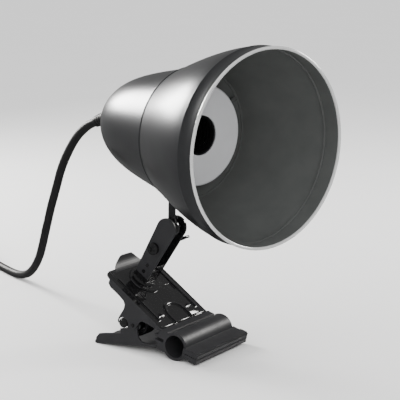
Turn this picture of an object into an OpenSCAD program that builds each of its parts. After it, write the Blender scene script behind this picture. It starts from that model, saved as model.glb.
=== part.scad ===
// Clip-on reading lamp: a sprung jaw clamp, a pinched ball joint and a two-stage spun shade.
// The lamp stands on its clamp. +X runs from the handles to the jaws, +Z is up.
// The origin is under the middle of the lamp's own box, at the height of the surface.

/* [Shade] */
// Outer diameter over the rolled rim
mouth_d = 140; // [132:1:144]
// Thickness of the spun shade wall
shade_t = 1.0; // [0.8:0.1:1.2]
// Depth from the rim to the step between the two stages
front_l = 81; // [78:1:84]
// Length of the rear stage
rear_l = 92; // [88:1:92]
// Diameter of the pale disc round the lampholder
disc_d = 74; // [68:1:76]

/* [Neck and arm] */
// Shade axis above the ball
neck_h = 74; // [70:1:78]
// Diameter of the ball
ball_d = 13; // [12.6:0.1:13.2]
// Turn of the shade to the near side of the clamp
head_turn = 15.6; // [0:0.1:30]
// Droop of the shade axis
head_pitch = 1.3; // [0:0.1:5]
// Height of the ball above the upper lever
arm_h = 51; // [48:1:54]

/* [Clamp] */
// Width of the upper lever
lever_w = 60; // [56:1:64]
// Sheet thickness of the levers
sheet_t = 1.2; // [1:0.1:1.4]
// Half of the angle between the levers
half_open = 20.5; // [19:0.5:22]
// Outer radius of the round grip between the pads
pad_r = 10.7; // [10:0.1:11.5]
// Length of the jaw pads
pad_l = 62; // [58:1:66]

/* [Cord] */
// Diameter of the mains cord
cord_d = 7; // [6.4:0.2:7.6]

/* [Hidden] */
$fn = 64;

// Clearances: clear parts moving faces, run is the radial play of a pin, fit is face to face
clear = 0.3;
run = 0.05;

// Clamp levers, each in its own frame: the jaw pivot at the origin, +X to the jaws,
// +Z outwards, the plate's outer face at lever_h
clip_pitch = 14;
lever_h = 16;
lever_rear = -42;
lever_front = 21;
lip_drop = 4.6;
upper_tilt = clip_pitch + half_open;
lower_tilt = clip_pitch - half_open + 0.4;
pin_r = 1.5;
ear_r = 3.2;
lower_w = lever_w - 2 * (sheet_t + clear);
sleeve_r = 5;
coil_r = 9.6;
coil_wire = 2.6;
coil_in = 12;
coil_out = lower_w / 2 - sheet_t - 1.2;

// Jaw pads, in the middle frame of the clamp: the tube's centre in front of the pivot
pad_x = 40;
pad_t = 2.3;
pad_gap = 0.3;
pad_lip_x = 62.5;
pad_lip_t = 3.6;
pivot_z = pad_x * sin(clip_pitch) + pad_r;

// Arm, in the upper lever's frame
arm_x = -27.8;
base_x = -25.3;
arm_gap = 12.4;
arm_plate_t = 1.5;
arm_top_r = 8.4;
arm_low_r = 6.3;
arm_foot = 7;
screw_h = 31.8;
screw_r = 2.5;
boss_x = -24;
boss_r = 13;
boss_h = 1.2;
ball_r = ball_d / 2;
stem_r = 2.8;

// Ball centre in the lamp's frame, measured from the jaw pivot
ball_dx = arm_x * cos(upper_tilt) + (lever_h + arm_h) * sin(upper_tilt);
ball_dz = -arm_x * sin(upper_tilt) + (lever_h + arm_h) * cos(upper_tilt);

// Jaw pivot in the lamp's frame: it centres the lamp's box on the origin
clip_x = -29.3;
clip_y = 25.85;
ball_x = clip_x + ball_dx;
ball_z = pivot_z + ball_dz;

// Shade, along its axis from the stem: the mouth, the step and the rear end
mouth_x = 104;
step_x = mouth_x - front_l;
tail_x = step_x - rear_l;
mouth_r = mouth_d / 2;
rim_r = 1.35;
band_r = mouth_r - 0.8;
band_l = 16;
step_r = 49.2;
rear_r = 48.3;
disc_x = mouth_x - 72.5;
socket_r = 13.6;
holder_r = 19;

// Cord: the strain relief's tip, then the route to the coil, then from the coil to the plug
coil_mean = 37;
coil_turn_w = 2 * cord_d;
coil_turn_h = 3 * cord_d;

// Outer radius of the front stage at a share t of the way from the band to the step
function front_r(t) = band_r - 0.3 - (band_r - 0.3 - step_r) * pow(t, 1.35);
// Outer radius of the rear stage at a share t of the way from the step to its end
function tail_r(t) = (rear_r - 17.5 * t) * sqrt(1 - pow(0.99 * t, 5));

// Frames
module at_pivot() translate([clip_x, clip_y, pivot_z]) children();
module at_upper() at_pivot() rotate([0, upper_tilt, 0]) children();
module at_lower() at_pivot() rotate([0, lower_tilt, 0]) mirror([0, 0, 1]) children();
module at_jaws() at_pivot() rotate([0, clip_pitch, 0]) children();
module at_ball() translate([ball_x, clip_y, ball_z]) rotate([0, head_pitch, -head_turn]) children();
module at_shade() at_ball() translate([0, 0, neck_h]) children();

// Turns an outline of [radius, distance] points round the shade's axis
module spin_x() rotate([0, 90, 0]) rotate_extrude($fn = 96) children();
module rod_x(r, x0, x1) translate([x0, 0, 0]) rotate([0, 90, 0]) cylinder(r = r, h = x1 - x0);
module rod_y(r, y0, y1) translate([0, y0, 0]) rotate([-90, 0, 0]) cylinder(r = r, h = y1 - y0);
module sheet_y(y0, t) translate([0, y0 + t, 0]) rotate([90, 0, 0]) linear_extrude(t) children();

// ---- Shade ----

front_steps = 18;
front_outer = [for (i = [0 : front_steps]) let (t = i / front_steps)
    [front_r(t), mouth_x - band_l - (front_l - band_l) * t]];

module front_reflector() {
    outer = concat([[band_r, mouth_x - 2.2], [band_r, mouth_x - 5]], front_outer,
                   [[rear_r - shade_t - 0.1, step_x]]);
    inner = concat([[rear_r - shade_t - 0.1, step_x + shade_t]],
                   [for (i = [front_steps : -1 : 0]) let (p = front_outer[i], q = i / front_steps)
                       [p[0] - shade_t, p[1] + shade_t * (0.2 + 0.8 * q)]],
                   [[band_r - shade_t, mouth_x - 5], [band_r - shade_t, mouth_x - 2.2]]);
    color("dimgray") at_shade() difference() {
        spin_x() polygon(concat(outer, inner));
        for (a = [60, 180, 300]) rotate([a, 0, 0]) translate([0, 0, 42.6]) rod_x(1.6, step_x - 1, step_x + 3);
    }
}

module rim_ring() {
    color("gainsboro") at_shade() spin_x() difference() {
        translate([mouth_r - rim_r, mouth_x - rim_r]) circle(rim_r);
        translate([band_r - shade_t, mouth_x - 3]) square([shade_t, 1.2]);
        translate([band_r - shade_t, mouth_x - 2.2 - 0.8]) square([shade_t, 0.8]);
    }
}

rear_steps = 22;
rear_outer = [for (i = [0 : rear_steps]) let (t = i / rear_steps)
    [tail_r(t), step_x - 1 - (rear_l - 1) * t]];
gland_r = 5.2;

// The rear stage as a solid plug, its surface moved out by d
module housing_solid(d) {
    at_shade() spin_x() polygon(concat([[0, step_x], [rear_r + d, step_x]],
        [for (p = rear_outer) [p[0] + d, p[1]]], [[0, tail_x]]));
}

module rear_housing() {
    inner = [for (i = [rear_steps : -1 : 0]) let (p = rear_outer[i], q = i / rear_steps)
        [max(p[0] - shade_t * (1 + 0.8 * q * q), gland_r), p[1] + shade_t * (0.2 + 0.8 * q * q)]];
    color("dimgray") at_shade() difference() {
        spin_x() polygon(concat([[rear_r, step_x - 0.1]], rear_outer, [[gland_r, tail_x]],
                                [[gland_r, tail_x + shade_t]], inner,
                                [[rear_r - shade_t, step_x - 0.1]]));
        translate([0, 0, -60]) cylinder(r = stem_r + run, h = 60);
    }
}

module mounting_plate() {
    color("darkslategray") at_shade() difference() {
        rod_x(rear_r - shade_t - 0.2, step_x - 1.4, step_x - 0.1);
        rod_x(holder_r + 0.1, step_x - 3, step_x + 3);
        for (a = [60, 180, 300]) rotate([a, 0, 0]) translate([0, 0, 42.6]) rod_x(1.6, step_x - 3, step_x + 3);
        for (a = [0 : 30 : 330]) rotate([a + 15, 0, 0]) translate([0, 0, 31]) rod_x(3.2, step_x - 3, step_x + 3);
    }
}

module plate_screws() {
    color("silver") at_shade() for (a = [60, 180, 300]) rotate([a, 0, 0]) translate([0, 0, 42.6]) {
        rod_x(1.5, step_x - 6, step_x + shade_t + 1.5);
        difference() {
            rod_x(2.9, step_x + shade_t + 0.05, step_x + shade_t + 2);
            translate([step_x + shade_t + 1.2, -0.4, -3]) cube([2, 0.8, 6]);
        }
    }
}

module socket_disc() {
    color("silver") at_shade() spin_x() polygon([
        [socket_r + 1, disc_x], [disc_d / 2 - 1, disc_x], [disc_d / 2, disc_x - 0.8],
        [disc_d / 2, disc_x - 4], [disc_d / 2 - 1, disc_x - 4], [disc_d / 2 - 1, disc_x - 1.2],
        [socket_r + 1, disc_x - 1.2]]);
}

module lampholder_body() {
    color("ivory") at_shade() difference() {
        union() {
            rod_x(holder_r, disc_x - 46, disc_x - 1.2);
            rod_x(holder_r + 3, step_x - 4.5, step_x - 1.4);
        }
        rod_x(socket_r + 0.45, disc_x - 30, disc_x + 1);
        rod_x(3, disc_x - 50, disc_x - 20);
        for (y = [-9, 9]) translate([0, y, 0]) rod_x(1.7, disc_x - 50, disc_x - 36);
    }
}

module threaded_shell() {
    thread = [for (i = [0 : 12]) [socket_r - 0.35 - 0.45 * (1 - cos(i * 180)), disc_x - 2 - 1.8 * i]];
    color("goldenrod") at_shade() spin_x() polygon(concat(
        [[socket_r + 0.4, disc_x - 2], [socket_r + 0.4, disc_x - 25]], [[socket_r - 2, disc_x - 25]],
        [for (i = [12 : -1 : 0]) thread[i]]));
}

module centre_contact() {
    color("goldenrod") at_shade() {
        rod_x(2.9, disc_x - 36, disc_x - 28);
        rod_x(4.5, disc_x - 28, disc_x - 26.6);
    }
}

module side_contact() {
    color("goldenrod") at_shade() translate([disc_x - 29.9, -2, -12.9]) cube([4.6, 4, 0.6]);
}

module terminal_screws() {
    color("silver") at_shade() for (y = [-9, 9]) translate([0, y, 0]) difference() {
        union() {
            rod_x(1.65, disc_x - 50, disc_x - 37);
            rod_x(3, disc_x - 52, disc_x - 50);
        }
        translate([disc_x - 53, -0.4, -4]) cube([1.8, 0.8, 8]);
    }
}

// The wires inside the shade run from the end of the cord's sheath to their terminals
module live_wire() {
    color("saddlebrown") at_shade() swept(smooth_route([[tail_x + 20.5, 1.7, 1], [tail_x + 26, 3, 2],
        [tail_x + 34, 7.6, 2], [disc_x - 56, 9, 0], [disc_x - 52.1, 9, 0]], 2), 1.2);
}
module neutral_wire() {
    color("royalblue") at_shade() swept(smooth_route([[tail_x + 20.5, -1.7, 1], [tail_x + 26, -3, 2],
        [tail_x + 34, -7.6, 2], [disc_x - 56, -9, 0], [disc_x - 52.1, -9, 0]], 2), 1.2);
}
module earth_wire() {
    color("yellowgreen") at_shade() swept(smooth_route([[tail_x + 20.5, 0, -1.8], [tail_x + 30, 0, -4],
        [tail_x + 42, 0, -13], [tail_x + 54, 0, -21.8], [tail_x + 70, 0, -23.4],
        [step_x - 6.4, 0, -26.5]], 2), 1.2);
}

module earth_screw() {
    color("silver") at_shade() translate([0, 0, -26.5]) {
        rod_x(1.6, step_x - 4, step_x - 1.4);
        rod_x(3, step_x - 6, step_x - 4);
    }
}

// ---- Cord exit ----

// Tapered boot that hangs in an arc: its length round the arc and the arc's radius
relief_r0 = 5.6;
relief_r1 = 4.4;
relief_l = 25;
relief_bend = 52;
relief_turn = relief_l / relief_bend * 180 / PI;
function relief_at(a) = [tail_x - 2 - relief_bend * sin(a), 0, -relief_bend * (1 - cos(a))];

module strain_relief() {
    color("black") at_shade() difference() {
        union() {
            spin_x() polygon([[0, tail_x - 2.5], [0, tail_x + 6], [gland_r - 0.1, tail_x + 6],
                [gland_r - 0.1, tail_x - 0.1], [relief_r0 + 1.4, tail_x - 0.1],
                [relief_r0 + 1.4, tail_x - 1.6], [relief_r0, tail_x - 2.5]]);
            swept_taper([for (i = [0 : 8]) relief_at(relief_turn * i / 8)], relief_r0, relief_r1, 12);
        }
        rod_x(cord_d / 2, tail_x - 1, tail_x + 8);
    }
}

// Sheath of the cord from the boot to the grip inside the housing
module cord_inner() {
    color("black") at_shade() rod_x(cord_d / 2, tail_x - 1, tail_x + 20);
}

module cord_grip() {
    color("whitesmoke") at_shade() translate([tail_x + 12, 0, 0]) difference() {
        translate([-4, -9, -7]) cube([8, 18, 14]);
        rod_x(cord_d / 2 + 0.1, -5, 5);
        for (y = [-6.6, 6.6]) translate([0, y, -8]) cylinder(r = 1.2, h = 16);
    }
}

// ---- Neck ----

collar_z = 24;
nut_z = 35.2;

module ball_stem() {
    color("gray") at_ball() union() {
        sphere(ball_r);
        translate([0, 0, ball_r - 1.2]) cylinder(r1 = 3.9, r2 = stem_r, h = 2.4);
        cylinder(r = stem_r, h = neck_h - 31);
        translate([0, 0, collar_z - 2]) cylinder(r = 4.6, h = 2);
    }
}

// Saddle washers outside and inside the housing wall
module stem_washer() {
    color("gray") difference() {
        union() {
            difference() {
                at_ball() translate([0, 0, collar_z + 0.05]) cylinder(r = 6.4, h = 10);
                housing_solid(0.05);
            }
            intersection() {
                at_ball() translate([0, 0, nut_z - 8]) cylinder(r = 6.4, h = 7.95);
                housing_solid(-shade_t - 0.25);
            }
        }
        at_ball() cylinder(r = stem_r + run, h = neck_h);
    }
}

module stem_nut() {
    color("silver") at_ball() translate([0, 0, nut_z]) difference() {
        cylinder(r = 5.5, h = 5, $fn = 6);
        translate([0, 0, -1]) cylinder(r = stem_r, h = 7);
    }
}

// ---- Arm ----

module arm_outline() {
    hull() {
        translate([arm_x, lever_h + arm_h]) circle(arm_top_r);
        translate([base_x - arm_low_r, lever_h + arm_foot]) square([2 * arm_low_r, 1]);
    }
}

// One pinch plate: a round seat for the ball inside, holes for the clamp screw and the rivets
module arm_plate(side) {
    y_in = side * arm_gap / 2;
    y_low = side > 0 ? y_in : y_in - arm_plate_t;
    difference() {
        sheet_y(y_low, arm_plate_t) arm_outline();
        translate([arm_x, 0, lever_h + arm_h]) rod_y(2.4, -arm_gap / 2 - 0.5, arm_gap / 2 + 0.5);
        translate([arm_x, 0, lever_h + screw_h]) rod_y(screw_r + 0.1, -20, 20);
        for (h = [10.5, 16.5]) translate([base_x, 0, lever_h + h]) rod_y(1.5, -20, 20);
    }
}
module arm_plate_front() { color("#2f2f31") at_upper() arm_plate(-1); }
module arm_plate_rear() { color("#2f2f31") at_upper() arm_plate(1); }

// Foot of the arm: a block on a round skirt that turns on the lever's raised seat
module swivel_base() {
    foot_z = lever_h + boss_h + 0.2;
    color("#202022") at_upper() translate([base_x, 0, 0]) difference() {
        union() {
            translate([-arm_low_r + 0.3, -arm_gap / 2, foot_z + 1])
                cube([2 * arm_low_r - 0.6, arm_gap, 19 - boss_h - 1]);
            translate([-arm_low_r + 0.3, -arm_gap / 2 - arm_plate_t + 0.3, foot_z + 1])
                cube([2 * arm_low_r - 0.6, arm_gap + 2 * arm_plate_t - 0.6,
                      arm_foot - boss_h - 1.3]);
            translate([0, 0, foot_z]) cylinder(r1 = 9.6, r2 = 8.2, h = 1.6);
        }
        translate([0, 0, lever_h - 1]) cylinder(r = 2.5 + run, h = 7.5);
        for (h = [10.5, 16.5]) translate([0, 0, lever_h + h]) rod_y(1.5, -20, 20);
    }
}

module base_rivets() {
    half = arm_gap / 2 + arm_plate_t;
    color("#202022") at_upper() for (h = [10.5, 16.5]) translate([base_x, 0, lever_h + h])
        rod_y(1.5, -half, half);
}

module arm_screw() {
    color("#151517") at_upper() translate([arm_x, 0, lever_h + screw_h]) {
        rod_y(screw_r, -arm_gap / 2 - arm_plate_t - 0.1, 18);
        difference() {
            rod_y(4.7, -arm_gap / 2 - arm_plate_t - 2.6, -arm_gap / 2 - arm_plate_t);
            for (a = [0, 90]) rotate([0, a, 0])
                translate([-2.8, -arm_gap / 2 - arm_plate_t - 3, -0.6]) cube([5.6, 1.6, 1.2]);
        }
    }
}

module wing_nut() {
    y0 = arm_gap / 2 + arm_plate_t + 0.1;
    color("#151517") at_upper() translate([arm_x, 0, lever_h + screw_h]) difference() {
        union() {
            translate([0, y0, 0]) rotate([-90, 0, 0]) cylinder(r1 = 5.4, r2 = 4.4, h = 7);
            for (a = [-59, 121]) rotate([0, a, 0]) hull() {
                translate([3.4, y0 + 2, 0]) rotate([-90, 0, 0]) cylinder(r = 1.1, h = 4, $fn = 24);
                translate([14.4, y0 + 6.4, 0]) rotate([-90, 0, 0]) cylinder(r = 1.1, h = 4.6, $fn = 24);
            }
        }
        rod_y(screw_r + run, y0 - 1, y0 + 20);
    }
}

module swivel_rivet() {
    color("gray") at_upper() translate([base_x, 0, 0]) {
        translate([0, 0, lever_h - sheet_t - 0.02]) cylinder(r = 2.5, h = 7.4);
        translate([0, 0, lever_h - sheet_t - 1.6]) cylinder(r = 4.4, h = 1.58);
    }
}

// ---- Levers ----

// Side wall of the upper lever, hooked round the spring's coil
module upper_ear() {
    difference() {
        union() {
            polygon([[-36, 15.4], [-35, 11.6], [-31.6, 10.2], [-22, 10.4], [-17, 9.9], [-14.4, 8],
                     [-13.2, 4.6], [-13.2, -3], [-12.6, -6.2], [-11.2, -7.6], [0, -3.1], [3, 1.4],
                     [3.2, 5.8], [4.6, 8.6], [8.3, 10], [14.7, 11.8], [21, 13.9], [21, 15.4]]);
            circle(ear_r);
        }
        translate([-7.6, -4.6]) rotate(14) scale([1, 0.86]) circle(4.7);
        circle(pin_r + run);
    }
}

// Side wall of the lower lever
module lower_ear() {
    difference() {
        union() {
            polygon([[-38, 15.4], [-37.4, 11.5], [-34, 8.4], [-28, 7.8], [-13.2, 7.2], [-13.2, 3.4],
                     [-7.4, 2.6], [-3, 1], [0, -3.1], [3.1, 0.8], [2.6, 5.8], [3.4, 10],
                     [5.6, 12.6], [9.5, 13.6], [21, 14], [21, 15.4]]);
            circle(ear_r);
        }
        circle(pin_r + run);
    }
}

// Pressed plate with its turned-down front edge and two side walls
module lever_sheet(w) {
    difference() {
        translate([0, 0, lever_h - sheet_t]) linear_extrude(sheet_t) difference() {
            hull() {
                translate([lever_front - 1, -w / 2]) square([1, w]);
                for (y = [-1, 1]) translate([lever_rear + 6, y * (w / 2 - 6)]) circle(6);
            }
            translate([base_x, 0]) circle(2.5 + run);
        }
        // Two shallow pressed squares beside the pivot
        for (y = [-1, 1]) translate([-14.5, y * 19 - 3, lever_h - 0.5]) cube([7, 6, 1]);
    }
    translate([lever_front - sheet_t, -w / 2, lever_h - lip_drop]) cube([sheet_t, w, lip_drop]);
}

// Raised round seat of the swivelling arm
module swivel_boss() {
    difference() {
        translate([boss_x, 0, 0]) rotate_extrude() polygon([[0, lever_h - 0.05],
            [0, lever_h + boss_h], [boss_r - 0.7, lever_h + boss_h],
            [boss_r, lever_h + boss_h - 0.5], [boss_r, lever_h - 0.05]]);
        translate([base_x, 0, lever_h - 3]) cylinder(r = 2.5 + run, h = 8);
    }
}

tab_r = 12;
tab_steps = 8;
tab_turn = 55;
tab_w = 44;
// Curled thumb tab at the end of the upper lever
module thumb_tab() {
    arc = [for (i = [0 : tab_steps]) let (a = tab_turn * i / tab_steps)
        [lever_rear + 3 - tab_r * sin(a), lever_h + tab_r * (1 - cos(a))]];
    under = [for (i = [tab_steps : -1 : 0]) let (a = tab_turn * i / tab_steps)
        [lever_rear + 3 - (tab_r + sheet_t) * sin(a), lever_h + tab_r - (tab_r + sheet_t) * cos(a)]];
    intersection() {
        sheet_y(-tab_w / 2, tab_w) polygon(concat(arc, under));
        translate([-28, 0, 0]) cylinder(r = tab_w / 2, h = 40);
    }
}

module upper_beads() {
    intersection() {
        for (y = [-1, 1]) translate([-32, y * 24, lever_h - 0.9]) rod_x(1.9, 0, 46);
        translate([-40, -40, lever_h - 0.05]) cube([80, 80, 3]);
    }
    intersection() {
        translate([13, 0, lever_h - 0.7]) {
            difference() {
                rotate_extrude() translate([10.5, 0]) circle(1.9);
                translate([0, -20, -5]) cube([40, 40, 10]);
            }
            for (y = [-10.5, 10.5]) translate([0, y, 0]) rod_x(1.9, 0, lever_front - 13);
        }
        translate([-40, -40, lever_h - 0.05]) cube([80, 80, 3]);
    }
    for (y = [-1, 1]) intersection() {
        translate([10.6, y * 18, lever_h - 1.4]) sphere(3.2);
        translate([5, y * 18 - 5, lever_h - 0.05]) cube([5.6, 10, 5]);
    }
}

module upper_lever() {
    color("#1b1b1d") at_upper() union() {
        lever_sheet(lever_w);
        thumb_tab();
        swivel_boss();
        upper_beads();
        for (y = [-lever_w / 2, lever_w / 2 - sheet_t]) sheet_y(y, sheet_t) upper_ear();
    }
}

module lower_lever() {
    color("#1b1b1d") at_lower() union() {
        lever_sheet(lower_w);
        for (y = [-lower_w / 2, lower_w / 2 - sheet_t]) sheet_y(y, sheet_t) lower_ear();
    }
}

module pivot_pin() {
    color("#2b2b2d") at_pivot() rod_y(pin_r, -lever_w / 2 - 0.6, lever_w / 2 + 0.6);
}

module spring_sleeve() {
    half = lower_w / 2 - sheet_t - 0.2;
    color("gray") at_pivot() difference() {
        rod_y(sleeve_r, -half, half);
        rod_y(pin_r + run, -half - 1, half + 1);
    }
}

// Two coil packs with a leg up to each lever
module torsion_spring() {
    color("#101012") at_pivot() {
        for (s = [-1, 1]) {
            y0 = min(s * coil_in, s * coil_out);
            difference() {
                rod_y(coil_r, y0, y0 + coil_out - coil_in);
                rod_y(coil_r - coil_wire, y0 - 1, y0 + coil_out);
            }
            rotate([0, upper_tilt, 0]) translate([0, s * (coil_in + 1.4), coil_r - 1.4])
                rod_x(1.3, -16, 0);
            rotate([0, lower_tilt, 0]) translate([0, s * (coil_out - 1.4), -coil_r + 1.4])
                rod_x(1.3, -12, 0);
        }
    }
}

// ---- Jaw pads, in the middle frame; side is 1 for the upper pad and -1 for the lower ----

pad_lip_l = 68;

module pad_arch() {
    difference() {
        union() {
            intersection() {
                translate([pad_x, 0]) circle(pad_r);
                translate([0, pad_gap / 2]) square([80, 20]);
            }
            translate([pad_x + pad_r - 2, pad_gap / 2]) square([4, pad_lip_t]);
            polygon([[23.9, 1.2], [31, 1.2], [33, 6], [31.5, 8], [25.9, 8], [23.9, 3]]);
            polygon([[21.6, 1.2], [24.2, 1.2], [24.2, 3], [21.6, 3.3]]);
        }
        pad_bore();
    }
}

// Flat lip in front of the arch, with two grooves along its front edge
module pad_lip() {
    difference() {
        union() {
            translate([pad_x + pad_r - 1.6, pad_gap / 2])
                square([pad_lip_x - pad_x - pad_r + 1.6, pad_lip_t]);
            translate([pad_lip_x - 7, pad_gap / 2]) square([6, pad_lip_t + 0.7]);
        }
        pad_bore();
        for (h = [1.2, 2.3]) translate([pad_lip_x, h]) circle(0.35, $fn = 16);
    }
}

module pad_bore() {
    intersection() {
        translate([pad_x, 0]) circle(pad_r - pad_t);
        translate([0, -1]) square([80, 20]);
    }
}

module jaw_pad() {
    sheet_y(-pad_l / 2, pad_l) pad_arch();
    sheet_y(-pad_lip_l / 2, pad_lip_l) pad_lip();
}
module upper_jaw_pad() { color("#39393b") at_jaws() jaw_pad(); }
module lower_jaw_pad() { color("#39393b") at_jaws() mirror([0, 0, 1]) jaw_pad(); }

// ---- Cord and plug ----

// Points of the cord from the tip of the boot down to the surface and along it to the coil,
// measured from under the jaw pivot
hang = [[-83, 26, 158.4], [-91.5, 28, 153], [-99, 29.5, 146.6], [-107, 31, 137], [-114.5, 32.5, 126],
        [-120, 33.5, 115.5], [-124, 34, 105], [-128.5, 35, 94.5], [-133, 36, 84], [-137.5, 37.5, 73],
        [-143, 40, 61.5], [-150.5, 45, 49], [-162, 54, 35.5], [-180, 67, 20], [-199, 79.5, 9],
        [-217, 88, 4.2], [-236, 96, 3.6], [-260, 107.5, 3.6], [-278, 116, 3.6], [-296, 125, 3.6],
        [-314, 133.4, 3.6]];
plug_run = [[-372.5, 97, 17.6], [-372.5, 80, 16.5], [-371, 62, 14.5], [-368.5, 44, 13.5],
            [-366.5, 26, 15.5], [-366, 8, 18], [-366, -6, 18.6]];
coil_at = [-332, 97, 0];
plug_at = [-366, -6, 18.6];
clip_at = [clip_x, clip_y, 0];
// Turns and moves a point from the shade's frame to the lamp's
function shade_to_lamp(p) = let (x = p[0] * cos(head_pitch) + (p[2] + neck_h) * sin(head_pitch),
    z = -p[0] * sin(head_pitch) + (p[2] + neck_h) * cos(head_pitch))
    [ball_x + x * cos(head_turn) + p[1] * sin(head_turn),
     clip_y - x * sin(head_turn) + p[1] * cos(head_turn), ball_z + z];
sides = 8;

function unit(v) = v / norm(v);
function tangent(p, i) = unit(p[min(i + 1, len(p) - 1)] - p[max(i - 1, 0)]);
// One point of a smooth curve through four neighbouring points
function through(a, b, c, d, t) = 0.5 * (2 * b + (c - a) * t + (2 * a - 5 * b + 4 * c - d) * t * t
    + (3 * b - a - 3 * c + d) * t * t * t);
function at(p, i) = p[max(0, min(len(p) - 1, i))];
function smooth_route(p, n) = concat(
    [for (i = [0 : len(p) - 2], k = [0 : n - 1]) through(at(p, i - 1), p[i], p[i + 1], at(p, i + 2), k / n)],
    [p[len(p) - 1]]);

module swept_taper(p, r0, r1, m) {
    n = len(p);
    rings = [for (i = [0 : n - 1]) let (t = tangent(p, i), s = unit(cross(t, [0.02, 0.05, 1])),
        u = cross(s, t), r = r0 + (r1 - r0) * i / (n - 1), k = 360 / m)
        for (j = [0 : m - 1]) p[i] + r * (cos(k * j) * s + sin(k * j) * u)];
    walls = [for (i = [0 : n - 2], k = [0 : m - 1]) let (a = i * m, b = (k + 1) % m)
        [a + k, a + b, a + m + b, a + m + k]];
    caps = [[for (k = [m - 1 : -1 : 0]) k], [for (k = [0 : m - 1]) (n - 1) * m + k]];
    polyhedron(points = rings, faces = concat(caps, walls), convexity = 4);
}
module swept(p, r) swept_taper(p, r, r, sides);

module cord_tube() {
    tip = shade_to_lamp(relief_at(relief_turn));
    color("black") {
        swept(smooth_route(concat([tip], [for (q = hang) q + clip_at]), 2), cord_d / 2);
        swept(smooth_route([for (q = plug_run) q + clip_at], 2), cord_d / 2);
    }
}

module cord_coil() {
    color("black") translate(clip_at + coil_at + [0, 0, 0.1]) rotate_extrude()
        translate([coil_mean - coil_turn_w / 2, 0]) square([coil_turn_w, coil_turn_h]);
}

module cord_tie() {
    color("dimgray") translate(clip_at + coil_at + [coil_mean, 0, 0.1]) difference() {
        translate([-coil_turn_w / 2 - 1, -4, -0.1]) cube([coil_turn_w + 2, 8, coil_turn_h + 1.1]);
        translate([-coil_turn_w / 2 - 0.05, -5, -1]) cube([coil_turn_w + 0.1, 10, coil_turn_h + 1.05]);
    }
}

plug_end = clip_at + plug_at;
module plug_body() {
    color("black") translate(plug_end) rotate([90, 0, 0]) {
        cylinder(r1 = 4.6, r2 = 6, h = 18);
        translate([0, 0, 18]) cylinder(r1 = 9, r2 = 18.4, h = 10);
        difference() {
            translate([0, 0, 28]) cylinder(r = 18.4, h = 14);
            for (y = [-1, 1]) translate([-2.6, y * 18.4 - 1.3, 27]) cube([5.2, 2.6, 20]);
        }
    }
}

module plug_pins() {
    color("silver") translate(plug_end) rotate([90, 0, 0])
        for (x = [-9.5, 9.5]) translate([x, 0, 42]) {
            cylinder(r = 2.4, h = 17);
            translate([0, 0, 17]) sphere(2.4);
        }
}

module plug_earth_strips() {
    color("silver") translate(plug_end) rotate([90, 0, 0])
        for (y = [-1, 1]) translate([-2.4, y * 17.6 - 0.5, 30]) cube([4.8, 1, 12]);
}

front_reflector();
rim_ring();
rear_housing();
mounting_plate();
plate_screws();
socket_disc();
lampholder_body();
threaded_shell();
centre_contact();
side_contact();
terminal_screws();
live_wire();
neutral_wire();
earth_wire();
earth_screw();
strain_relief();
cord_inner();
cord_grip();
stem_washer();
ball_stem();
stem_nut();
arm_plate_front();
arm_plate_rear();
swivel_base();
base_rivets();
arm_screw();
wing_nut();
swivel_rivet();
upper_lever();
upper_jaw_pad();
lower_lever();
lower_jaw_pad();
pivot_pin();
spring_sleeve();
torsion_spring();
cord_tube();
cord_coil();
cord_tie();
plug_body();
plug_pins();
plug_earth_strips();
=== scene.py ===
"""Looks of a clip-on reading lamp: spun bell shade, ball-jointed arm, sprung jaw clamp, mains cord."""

import logging
import math
from dataclasses import dataclass, field
from enum import Enum

import bmesh
import bpy
from mathutils import Matrix, Vector

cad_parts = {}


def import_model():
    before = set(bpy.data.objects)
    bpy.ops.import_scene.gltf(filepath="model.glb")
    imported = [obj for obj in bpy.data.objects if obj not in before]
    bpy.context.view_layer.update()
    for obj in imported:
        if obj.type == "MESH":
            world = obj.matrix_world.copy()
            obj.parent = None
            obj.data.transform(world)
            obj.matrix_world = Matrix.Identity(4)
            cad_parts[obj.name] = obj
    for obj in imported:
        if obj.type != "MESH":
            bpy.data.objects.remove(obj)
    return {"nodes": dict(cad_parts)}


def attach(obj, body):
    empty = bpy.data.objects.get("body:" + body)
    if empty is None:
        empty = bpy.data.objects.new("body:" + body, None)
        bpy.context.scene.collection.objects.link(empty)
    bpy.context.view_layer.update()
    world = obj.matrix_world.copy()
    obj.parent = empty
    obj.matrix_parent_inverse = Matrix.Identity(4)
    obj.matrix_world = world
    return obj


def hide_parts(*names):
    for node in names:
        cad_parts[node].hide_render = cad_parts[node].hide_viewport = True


LOG = logging.getLogger("reading_lamp")
MM = 0.001
# The frame's node objects by name, filled in by main()
NODES: dict[str, bpy.types.Object] = {}

# The jaw pivot, the upper lever's lean and the ball, as the frame has them (millimetres, degrees)
PIVOT = Vector((-29.3, 25.85, 20.377))
UPPER_TILT = 34.5
BALL = Vector((-14.261, 25.85, 91.339))
HEAD_TURN = -15.6
HEAD_PITCH = 1.3
NECK_H = 74.0


def frame_matrix(origin: Vector, pitch: float, turn: float = 0.0) -> Matrix:
    """Place of a local frame, in millimetres.

    Args:
        origin: where the frame's own origin is.
        pitch: turn about Y in degrees, made first.
        turn: turn about Z in degrees, made after it.

    Returns:
        The matrix from the local frame to the lamp's.
    """
    return (
        Matrix.Translation(origin)
        @ Matrix.Rotation(math.radians(turn), 4, "Z")
        @ Matrix.Rotation(math.radians(pitch), 4, "Y")
    )


SHADE = frame_matrix(BALL, HEAD_PITCH, HEAD_TURN) @ Matrix.Translation((0, 0, NECK_H))
UPPER = frame_matrix(PIVOT, UPPER_TILT)
PINS = frame_matrix(PIVOT, 0.0)

# Sockets of a colour Mix node: the two colours and the result
MIX_FIRST, MIX_SECOND, MIX_RESULT = 6, 7, 2
# Scale of a Wave texture that puts its rings one unit apart
WAVE_UNIT = 0.31
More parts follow.
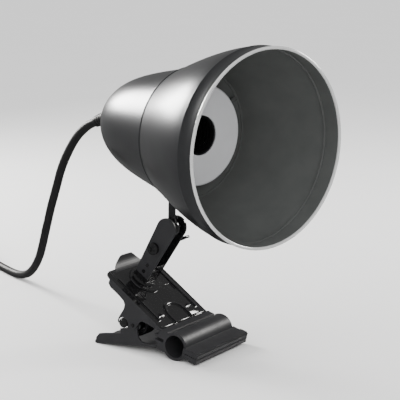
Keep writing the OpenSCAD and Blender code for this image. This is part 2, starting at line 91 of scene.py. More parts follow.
# Span of the soft cloud noise over which the colour and the roughness change
COLOUR_SPAN = (0.3, 0.7)
ROUGH_SPAN = (0.25, 0.75)
LEAST_ROUGH = 0.02
# Metallic from which a finish counts as metal and keeps the shader's own IOR
METAL_FROM = 0.5
# Points closer than this are one point, in millimetres: on a spun shape, and on a copied CAD node
SPUN_WELD = 1e-4
CAD_WELD = 0.004
# Copied faces that turn by less than this many degrees are joined
FLAT_DEG = 0.8
# Steps round the shade and round its brighter rim
SHADE_STEPS = 160
RIM_STEPS = 192


def linear(code: str) -> tuple[float, float, float, float]:
    """Turn an sRGB hex colour to the linear one that shaders take.

    Args:
        code: six hex digits after a hash sign.

    Returns:
        Red, green, blue and an alpha of one.
    """
    parts = [int(code[i : i + 2], 16) / 255 for i in (1, 3, 5)]
    low = [p / 12.92 if p <= 0.04045 else ((p + 0.055) / 1.055) ** 2.4 for p in parts]
    return (low[0], low[1], low[2], 1.0)


def add(tree: bpy.types.NodeTree, kind: str, settings: dict | None = None,
        links: dict | None = None) -> bpy.types.Node:
    """Add a node to a tree.

    Args:
        tree: the material's node tree.
        kind: the node's type name.
        settings: attribute values by name, and socket values by name or number in "inputs".
        links: for each input socket, the output socket that feeds it.

    Returns:
        The new node.
    """
    node = tree.nodes.new(kind)
    for name, value in (settings or {}).items():
        if name == "inputs":
            for socket, number in value.items():
                node.inputs[socket].default_value = number
        else:
            setattr(node, name, value)
    for socket, source in (links or {}).items():
        tree.links.new(source, node.inputs[socket])
    return node


class Pattern(Enum):
    """What the surface's fine relief follows."""

    GRAIN = "grain"
    SPUN = "spun"


@dataclass(frozen=True)
class Finish:
    """One surface finish: its colour, its gloss and the real size of its relief.

    The second colour and the spread of the roughness drift over clouds cloud_mm wide. The relief
    is the height, in millimetres, of a grain grain_mm wide.
    """

    name: str
    colour: str
    second: str
    metallic: float
    roughness: float
    spread: float
    grain_mm: float
    relief: float
    pattern: Pattern = Pattern.GRAIN
    coat: float = 0.0
    coat_roughness: float = 0.1
    ior: float = 1.5
    cloud_mm: float = 14.0

    def _place(self, tree: bpy.types.NodeTree) -> bpy.types.NodeSocket:
        """Find the pattern's coordinates, turned to the shade's axis where it is spun.

        Args:
            tree: the material's node tree.

        Returns:
            The socket that gives the coordinates.
        """
        coords = add(tree, "ShaderNodeTexCoord").outputs["Object"]
        if self.pattern is Pattern.GRAIN:
            return coords
        turned = SHADE.to_euler()
        centre = SHADE.translation * MM
        mapping = add(
            tree,
            "ShaderNodeMapping",
            {"vector_type": "TEXTURE", "inputs": {"Location": centre, "Rotation": turned}},
            {"Vector": coords},
        )
        return mapping.outputs["Vector"]

    def build(self) -> bpy.types.Material:
        """Make the material with its colour, roughness and relief nodes, once.

        Returns:
            The material, the same one at every call.
        """
        material = bpy.data.materials.get(self.name)
        if material:
            return material
        material = bpy.data.materials.new(self.name)
        material.use_nodes = True
        tree = material.node_tree
        shader = tree.nodes["Principled BSDF"]
        shader.inputs["Metallic"].default_value = self.metallic
        if self.metallic < METAL_FROM:
            shader.inputs["IOR"].default_value = self.ior
        shader.inputs["Coat Weight"].default_value = self.coat
        shader.inputs["Coat Roughness"].default_value = self.coat_roughness
        place = self._place(tree)
        cloud = add(
            tree,
            "ShaderNodeTexNoise",
            {"inputs": {"Scale": 1 / (self.cloud_mm * MM), "Detail": 4.0, "Roughness": 0.55}},
            {"Vector": place},
        )
        ramp = add(
            tree, "ShaderNodeMapRange",
            {"inputs": {"From Min": COLOUR_SPAN[0], "From Max": COLOUR_SPAN[1], "To Min": 0.0,
                        "To Max": 1.0}},
            {"Value": cloud.outputs["Fac"]},
        )
        mix = add(
            tree, "ShaderNodeMix",
            {"data_type": "RGBA",
             "inputs": {MIX_FIRST: linear(self.colour), MIX_SECOND: linear(self.second)}},
            {0: ramp.outputs["Result"]},
        )
        tree.links.new(mix.outputs[MIX_RESULT], shader.inputs["Base Color"])
        rough = add(
            tree, "ShaderNodeMapRange",
            {"inputs": {"From Min": ROUGH_SPAN[0], "From Max": ROUGH_SPAN[1],
                        "To Min": max(LEAST_ROUGH, self.roughness - self.spread),
                        "To Max": self.roughness + self.spread}},
            {"Value": cloud.outputs["Fac"]},
        )
        tree.links.new(rough.outputs["Result"], shader.inputs["Roughness"])
        if self.pattern is Pattern.SPUN:
            relief = add(
                tree, "ShaderNodeTexWave",
                {"wave_type": "RINGS", "rings_direction": "X",
                 "inputs": {"Scale": WAVE_UNIT / (self.grain_mm * MM), "Distortion": 1.4, "Detail": 3.0,
                            "Detail Scale": 1.5}},
                {"Vector": place},
            )
        else:
            relief = add(
                tree, "ShaderNodeTexNoise",
                {"inputs": {"Scale": 1 / (self.grain_mm * MM), "Detail": 3.0, "Roughness": 0.6}},
                {"Vector": place},
            )
        bump = add(
            tree, "ShaderNodeBump",
            {"inputs": {"Strength": 1.0, "Distance": self.relief * MM}},
            {"Height": relief.outputs["Fac"]},
        )
        tree.links.new(bump.outputs["Normal"], shader.inputs["Normal"])
        return material


# Real moulded, plated and drawn surfaces are finer than half a millimetre, too fine to show, so
# their grain is drawn 0.4 to 0.9 mm wide. The lacquers' orange peel, 1.2 to 1.6 mm, is its real size.

# Spun steel, sprayed with a gunmetal satin lacquer: broad soft highlights, a faint orange peel
SHADE_LACQUER = Finish("satin_gunmetal_lacquer", "#595a5c", "#555658", 0.9, 0.31, 0.015, 1.6, 0.004,
                       coat=0.3, coat_roughness=0.22, cloud_mm=30)
# The same steel sprayed matt inside: even, dark, no glare
SHADE_INSIDE = Finish("matt_grey_inner_spray", "#535554", "#4c4e4d", 0.1, 0.62, 0.04, 0.8, 0.01, cloud_mm=22)
# Rolled edge, bare and polished steel, reading as a bright line with dark breaks; its near-white, half-matt
# colour is partly painted highlight that keeps it bright in a dim room
RIM_STEEL_PAINTED_SHINE = Finish("polished_steel_painted_shine", "#f4f5f5", "#ebecec", 0.55, 0.2, 0.03, 0.6, 0.001, Pattern.SPUN)
# Disc turned from aluminium and bead blasted, with faint turning lines
DISC_METAL = Finish("satin_turned_aluminium", "#d6d7da", "#cfd0d3", 0.15, 0.5, 0.04, 0.9, 0.004, Pattern.SPUN,
                    cloud_mm=18)
# Pressed steel in gloss black lacquer: sharp warm highlights on a black body
BLACK_STEEL = Finish("gloss_black_stoved_steel", "#131314", "#0e0e0f", 0.0, 0.13, 0.04, 1.2, 0.004,
                     coat=0.6, coat_roughness=0.06, ior=1.55)
# Painted light: a lighter, flatter copy of the same gloss black lacquer, for the side walls, the thumb tab,
# the lower lever and the near arm plate, which look lit; the far arm plate stays gloss black
PAINTED_LIT_STEEL = Finish("black_lacquer_painted_lit_grey", "#29292b", "#252527", 0.0, 0.42, 0.04, 0.6, 0.004, ior=1.5)
# Bright zinc plate on turned fasteners
ZINC = Finish("bright_zinc_plate", "#b9bbbd", "#a6a8ab", 1.0, 0.3, 0.06, 0.5, 0.003, cloud_mm=4)
# Brass contacts, stamped and a little dulled
BRASS = Finish("stamped_brass", "#c9a55c", "#b8924a", 1.0, 0.28, 0.06, 0.5, 0.003, cloud_mm=5)
# Threaded sleeve painted nearly black as painted shade, so that the holder's mouth reads as a dark hole
PAINTED_SHADE_SLEEVE = Finish("sleeve_painted_dark_as_shade", "#2a2a2b", "#1e1e1f", 0.8, 0.35, 0.06, 0.5, 0.003, cloud_mm=5)
# Lampholder moulded in a dull resin
HOLDER_RESIN = Finish("moulded_holder_resin", "#26262a", "#202023", 0.0, 0.5, 0.05, 0.5, 0.008, cloud_mm=8)
# Jaw pads moulded in dark satin rubber
PAD_RUBBER = Finish("satin_moulded_rubber", "#29292b", "#242426", 0.0, 0.44, 0.05, 0.5, 0.006, ior=1.52,
                    cloud_mm=12)
# Cord sheath and boot, extruded and matt
CORD_RUBBER = Finish("matt_extruded_sheath", "#161617", "#121213", 0.0, 0.5, 0.05, 0.5, 0.006, cloud_mm=10)
# Plug moulded over the sheath in a slightly paler rubber: dull, with a soft light on its edges
PLUG_RUBBER = Finish("moulded_plug_rubber", "#1a1a1b", "#161617", 0.0, 0.46, 0.05, 0.7, 0.008, cloud_mm=10)
# Blued spring wire, oily
SPRING_WIRE = Finish("oiled_spring_wire", "#3a3a3c", "#2c2c2e", 0.9, 0.3, 0.05, 0.5, 0.003, cloud_mm=4)
# Brass pins plated with nickel: smooth and bright, a little warm
PINS_METAL = Finish("nickel_plated_brass", "#d2d0c8", "#c6c4bc", 1.0, 0.18, 0.04, 0.5, 0.001, cloud_mm=5)
# Extruded vinyl on the three cores: plain strong colours with a waxy sheen
LIVE = Finish("brown_wire_insulation", "#5b3220", "#523020", 0.0, 0.4, 0.04, 0.4, 0.003, cloud_mm=4)
NEUTRAL = Finish("blue_wire_insulation", "#2a4f96", "#25478a", 0.0, 0.4, 0.04, 0.4, 0.003, cloud_mm=4)
EARTH = Finish("green_yellow_wire_insulation", "#7aa02c", "#c9b930", 0.0, 0.4, 0.04, 0.4, 0.003, cloud_mm=3)
# Pale floor, a plain sheet of matt paper
PAPER = Finish("matt_studio_paper", "#f6f6f6", "#f4f4f4", 0.0, 0.9, 0.02, 3.0, 0.01, cloud_mm=200)


def publish(name: str, bm: bmesh.types.BMesh, finish: Finish, body: str,
            matrix: Matrix | None = None, smooth: float = 35.0) -> bpy.types.Object:
    """Make a finished piece from a bmesh in millimetres and let it ride.

    Args:
        name: the piece's name.
        bm: its shape, freed here.
        finish: its first material.
        body: the body that it rides on.
        matrix: from the shape's own frame to the lamp's, in millimetres.
        smooth: the angle in degrees past which an edge stays sharp.

    Returns:
        The new object.
    """
    if matrix:
        bmesh.ops.transform(bm, matrix=matrix, verts=bm.verts)
    bmesh.ops.scale(bm, vec=(MM, MM, MM), verts=bm.verts)
    bmesh.ops.recalc_face_normals(bm, faces=bm.faces)
    for face in bm.faces:
        face.smooth = True
    mesh = bpy.data.meshes.new(name)
    bm.to_mesh(mesh)
    bm.free()
    mesh.set_sharp_from_angle(angle=math.radians(smooth))
    piece = bpy.data.objects.new(name, mesh)
    bpy.context.scene.collection.objects.link(piece)
    mesh.materials.append(finish.build())
    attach(piece, body)
    LOG.info("%s: %d faces on %s", name, len(mesh.polygons), body)
    return piece


def spun(profile: list[tuple[float, float]], steps: int = 128) -> bmesh.types.BMesh:
    """Spin a closed outline round the X axis.

    Args:
        profile: points of radius and place along the axis, in millimetres.
        steps: how many steps make the full turn.

    Returns:
        The spun shape.
    """
    bm = bmesh.new()
    verts = [bm.verts.new((x, 0, r)) for r, x in profile]
    edges = [bm.edges.new((verts[i - 1], verts[i])) for i in range(len(verts))]
    bmesh.ops.spin(bm, geom=verts + edges, cent=(0, 0, 0), axis=(1, 0, 0), dvec=(0, 0, 0),
                   angle=math.tau, steps=steps, use_merge=True)
    bmesh.ops.remove_doubles(bm, verts=bm.verts, dist=SPUN_WELD)
    return bm


def smooth_line(points: list[Vector], parts: int) -> list[Vector]:
    """Fill in a curve that passes through each point.

    Args:
        points: the points to pass through.
        parts: how many pieces each span is cut into.

    Returns:
        The denser points, ends included.
    """
    out: list[Vector] = []
    for i in range(len(points) - 1):
        a, b = points[max(i - 1, 0)], points[i]
        c, d = points[i + 1], points[min(i + 2, len(points) - 1)]
        for k in range(parts):
            t = k / parts
            out.append(0.5 * (2 * b + (c - a) * t + (2 * a - 5 * b + 4 * c - d) * t * t
                              + (3 * b - a - 3 * c + d) * t ** 3))
    return out + [points[-1]]


def tube(name: str, points: list[Vector], radii: list[float], finish: Finish,
         sides: int = 6) -> bpy.types.Object:
    """Make a round tube as one open curve.

    Args:
        name: the curve object's name.
        points: the middle line, in millimetres.
        radii: the tube's radius at each point, in millimetres.
        finish: its material.
        sides: the curve's bevel resolution, which sets how round it is.

    Returns:
        The curve object, in metres.
    """
    data = bpy.data.curves.new(name, "CURVE")
    data.dimensions = "3D"
    data.bevel_depth = MM
    data.bevel_resolution = sides
    data.use_fill_caps = True
    data.twist_mode = "MINIMUM"
    spline = data.splines.new("POLY")
    spline.points.add(len(points) - 1)
    for target, place, radius in zip(spline.points, points, radii):
        target.co = (*(place * MM), 1.0)
        target.radius = radius
    spline.use_smooth = True
    piece = bpy.data.objects.new(name, data)
    bpy.context.scene.collection.objects.link(piece)
    data.materials.append(finish.build())
    return piece


def as_mesh(piece: bpy.types.Object) -> bpy.types.Object:
    """Turn a curve object into a mesh object of the same name.

    Args:
        piece: the curve object, which is removed.

    Returns:
        The mesh object.
    """
    graph = bpy.context.evaluated_depsgraph_get()
    mesh = bpy.data.meshes.new_from_object(piece.evaluated_get(graph))
    name = piece.name
    bpy.data.objects.remove(piece)
    fresh = bpy.data.objects.new(name, mesh)
    bpy.context.scene.collection.objects.link(fresh)
    return fresh


@dataclass
class Cord:
    """Mains cord: boot, hanging run, tied coil and plug end.

    The hanging run goes from the boot to the coil and the plug run from the coil to the plug. Their
    points are measured from the surface under the jaw pivot, in millimetres. The coil starts at
    start_deg, where the hanging run meets it.
    """

    width: float = 7.0
    relief_length: float = 25.0
    relief_bend: float = 52.0
    tail_x: float = -69.0
    coil_at: Vector = field(default_factory=lambda: Vector((-361.3, 122.85, 0.0)))
    hang: tuple = ((-83, 26, 158.4), (-91.5, 28, 153), (-99, 29.5, 146.6), (-107, 31, 137),
                   (-114.5, 32.5, 126), (-120, 33.5, 115.5), (-124, 34, 105), (-128.5, 35, 94.5),
                   (-133, 36, 84), (-137.5, 37.5, 73), (-143, 40, 61.5), (-150.5, 45, 49),
                   (-162, 54, 35.5), (-180, 67, 20), (-199, 79.5, 9), (-217, 88, 4.2), (-236, 96, 3.6),
                   (-260, 107.5, 3.6), (-278, 116, 3.6), (-296, 125, 3.6), (-314, 133.4, 3.6))
    plug_run: tuple = ((-372.5, 80, 16.5), (-371, 62, 14.5), (-368.5, 44, 13.5), (-366.5, 26, 15.5),
                       (-366, 8, 18), (-366, -6, 18.6))
    start_deg: float = 64.0
    per_turn: int = 24
    # Radii of the coil's outer and inner turns, its lowest layer, and the rise to the next one
    coil_outer: float = 40.5
    coil_inner: float = 33.5
    coil_low: float = 3.6
    coil_step: float = 7.0
    whole_turns: float = 5.0
    # The boot's radius at its wide end and what it loses by its tip; its rings' depth and pitch
    boot_r: float = 5.6
    boot_taper: float = 1.2
    ring_depth: float = 0.35
    ring_pitch: float = 3.1
    ring_span: tuple[float, float] = (2.5, 22.0)
    # The collar's bore, throat and outer radius
    collar: tuple[float, float, float] = (3.55, 5.1, 7.0)
    # The tie's size, its middle from the coil's, its corner and its thickness
    tie_size: tuple[float, float, float] = (15.8, 7.6, 22.0)
    tie_at: tuple[float, float, float] = (37.0, 0.0, 11.05)
    tie_corner: float = 3.2
    tie_wall: float = 0.7

    def relief_point(self, along: float) -> Vector:
        """Find a point of the boot's arc.

        Args:
            along: how far along the arc it is, in millimetres.

        Returns:
            The point in the lamp's frame, in millimetres.
        """
        turn = along / self.relief_bend
        local = Vector((self.tail_x - 2 - self.relief_bend * math.sin(turn), 0,
                        -self.relief_bend * (1 - math.cos(turn))))
        return SHADE @ local

    def coil_points(self) -> list[Vector]:
        """Wind the coil: out and in on each layer, rising from the surface.

        Returns:
            The middle line of its turns, in millimetres.
        """
        outer, inner = self.coil_outer, self.coil_inner
        turns = self.whole_turns + (180 - self.start_deg) / 360
        # Turn, radius and layer that the coil passes through, with a soft step between them
        stations = ((0.0, outer, 0), (0.85, outer, 0), (1.15, inner, 0), (1.85, inner, 0),
                    (2.15, inner, 1), (2.85, inner, 1), (3.15, outer, 1), (3.85, outer, 1),
                    (4.15, outer, 2), (9.0, outer, 2))
        count = int(turns * self.per_turn)
        out = []
        for i in range(1, count + 1):
            t = turns * i / count
            k = max(j for j in range(len(stations)) if stations[j][0] <= t)
            a, b = stations[k], stations[min(k + 1, len(stations) - 1)]
            share = (t - a[0]) / max(b[0] - a[0], 1e-6)
            share = share * share * (3 - 2 * share)
            radius = a[1] + (b[1] - a[1]) * share
            height = self.coil_low + self.coil_step * (a[2] + (b[2] - a[2]) * share)
            angle = math.radians(self.start_deg + 360 * t)
            spot = Vector((radius * math.cos(angle), radius * math.sin(angle), height))
            out.append(self.coil_at + spot)
        return out

    def build(self) -> None:
        shift = Vector((PIVOT.x, PIVOT.y, 0))
        tip = self.relief_point(self.relief_length)
        first = [tip] + [Vector(p) + shift for p in self.hang]
        last = [Vector(p) + shift for p in self.plug_run]
        points = smooth_line(first, 2) + self.coil_points() + smooth_line(last, 2)
        cord = tube("cord", points, [self.width / 2] * len(points), CORD_RUBBER)
        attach(cord, "head")
        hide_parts("cord_tube", "cord_coil")
        self._boot()
        self._tie()
        softened("plug_shell", "plug_body", PLUG_RUBBER, "head", 0.8)

    def _boot(self) -> None:
        """Tapered boot with moulded rings, in an arc."""
        count = 60
        points, radii = [], []
        for i in range(count + 1):
            along = self.relief_length * i / count
            taper = self.boot_r - self.boot_taper * i / count
            ring = self.ring_depth * (0.5 - 0.5 * math.cos(math.tau * along / self.ring_pitch))
            ringed = self.ring_span[0] < along < self.ring_span[1]
            points.append(self.relief_point(along))
            radii.append(taper - (ring if ringed else 0.0))
        boot = as_mesh(tube("cord_boot", points, radii, CORD_RUBBER, 8))
        for polygon in boot.data.polygons:
            polygon.use_smooth = True
        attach(boot, "head")
        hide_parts("strain_relief")
        LOG.info("cord_boot: %d rings of points on head", len(points))
        bore, throat, lip = self.collar
        end = self.tail_x
        profile = [(bore, end + 5), (throat, end + 5), (throat, end - 0.1), (lip - 0.4, end - 0.1),
                   (lip, end - 0.5), (lip, end - 1.1), (lip - 0.6, end - 1.7), (throat + 0.4, end - 2.5),
                   (bore, end - 2.5)]
        publish("cord_boot_collar", spun(profile, 48), CORD_RUBBER, "head", SHADE)

    def _tie(self) -> None:
        """Soft band round the coil, rounded at its corners."""
        bm = bmesh.new()
        bmesh.ops.create_cube(bm, size=1.0)
        bmesh.ops.scale(bm, vec=self.tie_size, verts=bm.verts)
        ends = [f for f in bm.faces if abs(f.normal.y) > 0.9]
        bmesh.ops.delete(bm, geom=ends, context="FACES_ONLY")
        edges = [e for e in bm.edges if not e.is_boundary]
        bmesh.ops.bevel(bm, geom=edges, offset=self.tie_corner, segments=5, profile=0.5, affect="EDGES",
                        material=-1)
        bmesh.ops.recalc_face_normals(bm, faces=bm.faces)
        bmesh.ops.solidify(bm, geom=bm.faces, thickness=self.tie_wall)
        place = Matrix.Translation(self.coil_at + Vector(self.tie_at))
        band = publish("tie_band", bm, CORD_RUBBER, "head", place)
        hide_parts("cord_tie")


@dataclass
class Shade:
    """The two-stage bell: front reflector, rolled rim and rear housing.

    Places along the axis are named with an x and radii with an r, both in the shade's own frame.
    """

    mouth_x: float = 104.0
    mouth_r: float = 70.0
    band_l: float = 16.0
    step_x: float = 23.0
    step_r: float = 49.2
    rear_r: float = 48.3
    tail_x: float = -69.0
    wall: float = 1.0
    hole_r: float = 5.2
    # The rim's roll, and how hollow the front stage's flare is
    rim_ring: float = 1.12
    flare: float = 1.35
    # What the rear stage loses towards its end, and how squarely it closes there
    rear_loss: float = 17.5
    rear_reach: float = 0.99
    rear_power: int = 5
    # Soft bead behind the band: radius over the band's, and place before the band's end
    bead: tuple = ((0.0, 2.4), (0.28, 1.9), (0.42, 1.3), (0.3, 0.7), (-0.2, 0.3))

    def front_r(self, t: float) -> float:
        """Outer radius of the front stage at a share t of the way from the band to the step."""
        top = self.mouth_r - 1.1
        return top - (top - self.step_r) * t ** self.flare

    def tail_r(self, t: float) -> float:
        """Outer radius of the rear stage at a share t of the way to its end."""
        return (self.rear_r - self.rear_loss * t) * math.sqrt(1 - (self.rear_reach * t) ** self.rear_power)

    def build(self) -> None:
        """Make and dress the three pieces."""
        self._front()
        self._rim()
        self._rear()

    def _front(self) -> None:
        """Bell with a soft bead behind the rim, matt inside."""
        band = self.mouth_r - 0.8
        front_x = self.mouth_x - self.band_l
        span = front_x - self.step_x
        outer = [(band, self.mouth_x - 2.0), (band, self.mouth_x - 6.0)]
        outer += [(band + proud, front_x + ahead) for proud, ahead in self.bead]
        rows = 44
        for i in range(1, rows + 1):
            t = i / rows
            outer.append((self.front_r(t), front_x - span * t))
        seat = self.rear_r - 1.4
        lip = [(self.step_r + 0.35, self.step_x - 0.5), (self.step_r + 0.3, self.step_x - 1.0),
               (self.step_r - 0.3, self.step_x - 1.1), (self.step_r - 0.6, self.step_x - 0.5),
               (seat, self.step_x - 0.4), (seat, self.step_x + 0.7)]
        inner = []
        for i in range(rows, 0, -1):
            t = i / rows
            # The inner wall lies further forward where the bell narrows, which keeps it even
            lean = self.wall * (0.2 + 0.6 * t)
            inner.append((self.front_r(t) - self.wall, front_x - span * t + lean))
        inner += [(band - 1.7, front_x + 0.9), (band - 0.6, front_x + 1.2), (band - 0.6, front_x + 2.2),
                  (band - self.wall, front_x + 2.6), (band - self.wall, self.mouth_x - 6.0),
                  (band - self.wall, self.mouth_x - 2.0)]
        bm = spun(outer + lip + inner, SHADE_STEPS)
        bm.normal_update()
        bmesh.ops.recalc_face_normals(bm, faces=bm.faces)
        for face in bm.faces:
            middle = face.calc_center_median()
            radial = Vector((0, middle.y, middle.z))
            face.material_index = 1 if face.normal.dot(radial) < 0 else 0
        piece = publish("bell_shade", bm, SHADE_LACQUER, "head", SHADE)
        piece.data.materials.append(SHADE_INSIDE.build())
        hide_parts("front_reflector")

    def _rim(self) -> None:
        """Rolled rim round the mouth."""
        ring, steps = self.rim_ring, 20
        turns = [math.tau * i / steps for i in range(steps)]
        profile = [(self.mouth_r - ring + ring * math.cos(turn), self.mouth_x - ring + ring * math.sin(turn))
                   for turn in turns]
        rim = spun(profile, RIM_STEPS)
        # The rim's near-white is partly painted highlight
        piece = publish("rolled_rim", rim, RIM_STEEL_PAINTED_SHINE, "head", SHADE, 180)
        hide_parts("rim_ring")

    def _rear(self) -> None:
        """Rear dome with the cord's hole."""
        length = self.step_x - self.tail_x
        rows = 60
        outer = [(self.rear_r, self.step_x - 0.4)]
        outer += [(self.tail_r(t), self.step_x - 1 - (length - 1) * t)
                  for t in [1 - (1 - i / rows) ** 1.6 for i in range(rows + 1)]]
        outer = [(max(r, self.hole_r + 0.4), x) for r, x in outer]
        outer.append((self.hole_r, self.tail_x))
        inner = [(self.hole_r, self.tail_x + 1.0)]
        for r, x in reversed(outer[1:-1]):
            # The wall's offset turns from sideways to forwards as the dome closes
            t = (self.step_x - 1 - x) / (length - 1)
            inner.append((max(r - 1.0 - 0.8 * t * t, self.hole_r + 0.4), x + 0.2 + 0.8 * t * t))
        inner.append((self.rear_r - 1.0, self.step_x - 0.4))
        dome = spun(outer + inner, SHADE_STEPS)
        piece = publish("rear_dome", dome, SHADE_LACQUER, "head", SHADE)
        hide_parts("rear_housing")


def softened(name: str, node: str, finish: Finish, body: str, width: float = 0.25,
             sharp: float = 30.0, segments: int = 2, merge: bool = True) -> bpy.types.Object:
    """Copy a CAD node and round its edges.

    Args:
        name: the new piece's name.
        node: the CAD node that it replaces.
        finish: its material.
        body: the body that it rides on.
        width: how wide the rounding is, in millimetres.
        sharp: edges that turn by more than this many degrees are rounded.
        segments: how many steps round an edge.
        merge: whether flat neighbours are joined first, which suits faces with no holes in them.

    Returns:
        The new piece.
    """
    bm = bmesh.new()
    bm.from_mesh(NODES[node].data)
    bmesh.ops.scale(bm, vec=(1 / MM, 1 / MM, 1 / MM), verts=bm.verts)
    bmesh.ops.remove_doubles(bm, verts=bm.verts, dist=CAD_WELD)
    if merge:
        bmesh.ops.dissolve_limit(bm, angle_limit=math.radians(FLAT_DEG), verts=bm.verts, edges=bm.edges)
    edges = [e for e in bm.edges if len(e.link_faces) == 2
             and e.calc_face_angle(0.0) > math.radians(sharp)]
    if width > 0 and edges:
        bmesh.ops.bevel(bm, geom=edges, offset=width, offset_type="OFFSET", segments=segments, profile=0.5,
                        affect="EDGES", clamp_overlap=merge, material=-1)
    piece = publish(name, bm, finish, body, smooth=28.0)
    weighted = piece.modifiers.new("even_normals", "WEIGHTED_NORMAL")
    weighted.keep_sharp = True
    weighted.weight = 100
    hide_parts(node)
    return piece


@dataclass
class Spring:
    """Torsion spring: two packs of real turns, each with its button in an upper ear."""

    wire: float = 1.3
    mean_r: float = 8.3
    turns: float = 4.5
    per_turn: int = 36
    inner_y: float = 12.0
    outer_y: float = 25.7
    eye: tuple[float, float] = (-7.6, -4.6)
    eye_inner: float = 28.7
    eye_outer: float = 30.9

    def build(self) -> None:
        """Wind both packs and set their buttons."""
        for side in (-1, 1):
            bm = bmesh.new()
            start = Matrix.Translation((self.mean_r, side * (self.inner_y + self.wire), 0))
            bmesh.ops.create_circle(bm, cap_ends=False, radius=self.wire, segments=12,
                                    matrix=start @ Matrix.Rotation(math.pi, 4, "X"))
            steps = int(self.turns * self.per_turn)
            rise = side * (self.outer_y - self.inner_y - 2 * self.wire) / steps
            bmesh.ops.spin(bm, geom=bm.verts[:] + bm.edges[:], cent=(0, 0, 0), axis=(0, 1, 0),
                           dvec=(0, rise, 0), angle=self.turns * math.tau, steps=steps, use_duplicate=False)
            bmesh.ops.holes_fill(bm, edges=[e for e in bm.edges if e.is_boundary], sides=12)
            name = "spring_pack_near" if side < 0 else "spring_pack_far"
            piece = publish(name, bm, SPRING_WIRE, "base", PINS, 60)
            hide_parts("torsion_spring")
            self._eye(side)

    def _eye(self, side: int) -> None:
        """Make the stepped button that closes the eye in an upper ear, where the spring hooks in.

        Args:
            side: -1 for the near ear and 1 for the far one.
        """
        inner, outer = self.eye_inner, self.eye_outer
        profile = [(0.0, inner), (3.7, inner), (3.7, outer - 0.9), (3.4, outer - 0.6), (2.6, outer - 0.6),
                   (2.4, outer - 0.3), (1.9, outer), (0.0, outer)]
        bm = spun(profile, 40)
        turn = Matrix.Rotation(math.radians(90 * side), 4, "Z")
        place = UPPER @ Matrix.Translation((self.eye[0], 0, self.eye[1])) @ turn
        name = "spring_eye_near" if side < 0 else "spring_eye_far"
        publish(name, bm, BLACK_STEEL, "upper_jaw", place, 30)


@dataclass
class Camera:
    """Camera and studio, in metres."""

    centre: tuple[float, float, float] = (0.54588, -0.77175, 0.30237)
    forward: tuple[float, float, float] = (-0.5466, 0.8152, -0.1913)
    right: tuple[float, float, float] = (0.8306, 0.5569, 0.0)
    lens: float = 120.0
    sensor: float = 36.0
    reach: float = 20.0
    # What the lamps point at, their warm white, and the room's strength on the object and behind it
    aim: tuple[float, float, float] = (0.0, 0.0, 0.14)
    warm_white: tuple[float, float, float] = (1.0, 0.985, 0.96)
    room_level: float = 0.2
    backdrop_level: float = 0.95
    # Strength, spread and tilt of the broad light from above, in degrees
    ceiling_level: float = 4.1
    ceiling_spread: float = 110.0
    ceiling_tilt: tuple[float, float] = (28.0, 8.0)
    floor_half: float = 6.0
    # Name, place, size, power, and whether glossy surfaces mirror it
    lamps: tuple = (
        ("soft_box", (-1.05, 0.2, 0.55), (0.34, 0.3), 19.0, True),
        ("strip", (0.46, 1.0, 0.56), (0.3, 0.3), 6.0, True),
        ("fill", (1.1, -1.1, 0.6), (0.7, 0.7), 7.0, False),
    )

    def build(self) -> None:
        """Set the camera at the viewing angle."""
        data = bpy.data.cameras.new("view")
        data.lens = self.lens
        data.sensor_width = self.sensor
        data.clip_end = self.reach
        camera = bpy.data.objects.new("view", data)
        ahead = Vector(self.forward).normalized()
        side = Vector(self.right).normalized()
        up = side.cross(ahead)
        turn = Matrix((side, up, -ahead)).transposed().to_4x4()
        camera.matrix_world = Matrix.Translation(self.centre) @ turn
        bpy.context.scene.collection.objects.link(camera)
        bpy.context.scene.camera = camera

    def lights(self) -> None:
        """A dim pale room, a soft box at the left, a strip behind, a fill in front, light from above."""
        world = bpy.data.worlds.new("room")
        bpy.context.scene.world = world
        world.use_nodes = True
        tree = world.node_tree
        ground = tree.nodes["Background"]
        ground.inputs["Color"].default_value = (1, 1, 1, 1)
        path = add(tree, "ShaderNodeLightPath")
        level = add(tree, "ShaderNodeMapRange",
                    {"inputs": {"To Min": self.room_level, "To Max": self.backdrop_level}},
                    {"Value": path.outputs["Is Camera Ray"]})
        tree.links.new(level.outputs["Result"], ground.inputs["Strength"])
        for name, place, size, power, mirrored in self.lamps:
            data = bpy.data.lights.new(name, "AREA")
            data.shape = "RECTANGLE"
            data.size, data.size_y = size
            data.energy = power
            data.color = self.warm_white
            light = bpy.data.objects.new(name, data)
            light.location = place
            light.rotation_euler = (Vector(self.aim) - Vector(place)).to_track_quat("-Z", "Y").to_euler()
            light.visible_glossy = mirrored
            bpy.context.scene.collection.objects.link(light)
        data = bpy.data.lights.new("ceiling", "SUN")
        data.energy = self.ceiling_level
        data.angle = math.radians(self.ceiling_spread)
        light = bpy.data.objects.new("ceiling", data)
        light.rotation_euler = (*(math.radians(angle) for angle in self.ceiling_tilt), 0)
        light.visible_glossy = False
        bpy.context.scene.collection.objects.link(light)
        self._floor()

    def _floor(self) -> None:
        """Pale sheet under the lamp, kept out of its reflections."""
        bm = bmesh.new()
        bmesh.ops.create_grid(bm, x_segments=8, y_segments=8, size=self.floor_half)
        mesh = bpy.data.meshes.new("floor")
        bm.to_mesh(mesh)
        bm.free()
        floor = bpy.data.objects.new("floor", mesh)
        bpy.context.scene.collection.objects.link(floor)
        mesh.materials.append(PAPER.build())
        floor.visible_glossy = False


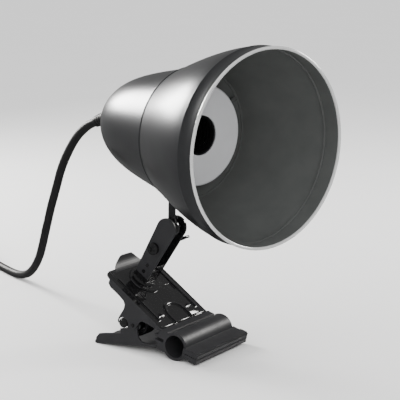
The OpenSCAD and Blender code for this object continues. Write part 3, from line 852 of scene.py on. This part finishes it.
@dataclass
class Fittings:
    """Pieces taken from the frame with their edges rounded, and bare frame nodes with a finish."""

    # The upper lever's thumb tab begins here, and a face that looks this much sideways is a side wall; both
    # take the painted-lit grey
    tab_from: float = -38.6
    side_wall: float = 0.9
    # The upper lever's front bend: radius, front, top, how proud it stands, its end rounding, its spans
    bend_r: float = 1.5
    bend_front: float = 21.0
    bend_top: float = 16.0
    bend_proud: float = 0.35
    bend_round: float = 0.45
    bend_spans: tuple = (("bend_near", -29.8, -12.2), ("bend_middle", -8.8, 8.8), ("bend_far", 12.2, 29.8))

    def build(self) -> None:
        """Dress every remaining node."""
        # Piece, node, finish, body, slot, width of the rounding in millimetres
        soft = (
            # The lower lever and the near arm plate take the painted-lit grey; the far arm plate, the same
            # part, keeps the gloss black
            ("lower_handle", "lower_lever", PAINTED_LIT_STEEL, "base", "black_steel", 0.0),
            ("upper_pad", "upper_jaw_pad", PAD_RUBBER, "upper_jaw", "jaw_rubber", 0.4),
            ("lower_pad", "lower_jaw_pad", PAD_RUBBER, "base", "jaw_rubber", 0.4),
            ("near_arm_plate", "arm_plate_front", PAINTED_LIT_STEEL, "arm", "arm_paint", 0.3),
            ("far_arm_plate", "arm_plate_rear", BLACK_STEEL, "arm", "arm_paint", 0.3),
            ("arm_foot", "swivel_base", BLACK_STEEL, "arm", "black_steel", 0.5),
            ("pan_screw", "arm_screw", BLACK_STEEL, "arm", "black_steel", 0.45),
            ("winged_nut", "wing_nut", BLACK_STEEL, "wing", "black_steel", 0.3),
            ("ball_and_stem", "ball_stem", BLACK_STEEL, "neck", "black_steel", 0.3),
            ("lamp_disc", "socket_disc", DISC_METAL, "head", "grey_disc", 0.2),
        )
        handle = softened("upper_handle", "upper_lever", BLACK_STEEL, "upper_jaw", 0.0,
                          merge=False)
        # Second slot: painted light, the lit grey copy of the lacquer, for the thumb tab and the side walls
        handle.data.materials.append(PAINTED_LIT_STEEL.build())
        back = UPPER.inverted()
        for face in handle.data.polygons:
            tab = (back @ (Vector(face.center) / MM)).x < self.tab_from
            face.material_index = 1 if tab or abs(face.normal.y) > self.side_wall else 0
        for name, node, finish, body, slot, width in soft:
            softened(name, node, finish, body, width, merge=width > 0)
        self._rolled_edge()
        bare = {
            "mounting_plate": SHADE_INSIDE, "plate_screws": SHADE_INSIDE, "lampholder_body": HOLDER_RESIN,
            # The threaded shell takes the painted shade: near-black, for the holder's dark mouth
            "threaded_shell": PAINTED_SHADE_SLEEVE, "centre_contact": BRASS, "side_contact": BRASS,
            "terminal_screws": ZINC, "live_wire": LIVE, "neutral_wire": NEUTRAL, "earth_wire": EARTH,
            "earth_screw": BRASS, "cord_inner": CORD_RUBBER, "cord_grip": HOLDER_RESIN,
            "stem_washer": BLACK_STEEL, "stem_nut": ZINC, "base_rivets": BLACK_STEEL,
            "swivel_rivet": ZINC, "pivot_pin": BLACK_STEEL, "spring_sleeve": ZINC,
            "plug_pins": PINS_METAL, "plug_earth_strips": PINS_METAL,
        }
        for node, finish in bare.items():
            target = NODES[node]
            for entry in target.material_slots:
                entry.material = finish.build()
            LOG.info("%s: frame node in %s", node, finish.name)

    def _rolled_edge(self) -> None:
        """Rounded bend along the upper lever's front edge, broken by the two legs of its bead."""
        radius, lift = self.bend_r, self.bend_proud - self.bend_r
        for name, low, high in self.bend_spans:
            bm = bmesh.new()
            bmesh.ops.create_circle(bm, cap_ends=True, radius=radius, segments=32)
            bmesh.ops.rotate(bm, verts=bm.verts, cent=(0, 0, 0), matrix=Matrix.Rotation(math.pi / 2, 3, "X"))
            bmesh.ops.translate(bm, verts=bm.verts, vec=(self.bend_front + lift, low, self.bend_top + lift))
            grown = bmesh.ops.extrude_face_region(bm, geom=bm.faces[:])
            ends = [v for v in grown["geom"] if isinstance(v, bmesh.types.BMVert)]
            bmesh.ops.translate(bm, verts=ends, vec=(0, high - low, 0))
            rings = [e for e in bm.edges if abs(e.verts[0].co.y - e.verts[1].co.y) < SPUN_WELD]
            bmesh.ops.bevel(bm, geom=rings, offset=self.bend_round, segments=3, profile=0.5, affect="EDGES",
                            material=-1)
            publish(name, bm, BLACK_STEEL, "upper_jaw", UPPER, 50)


def main() -> None:
    """Build the lamp round its frame."""
    logging.basicConfig(level=logging.INFO, format="%(message)s")
    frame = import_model()
    NODES.update(frame["nodes"])
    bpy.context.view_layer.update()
    camera = Camera()
    camera.build()
    Cord().build()
    Shade().build()
    Fittings().build()
    Spring().build()
    camera.lights()


if __name__ == "__main__":
    main()
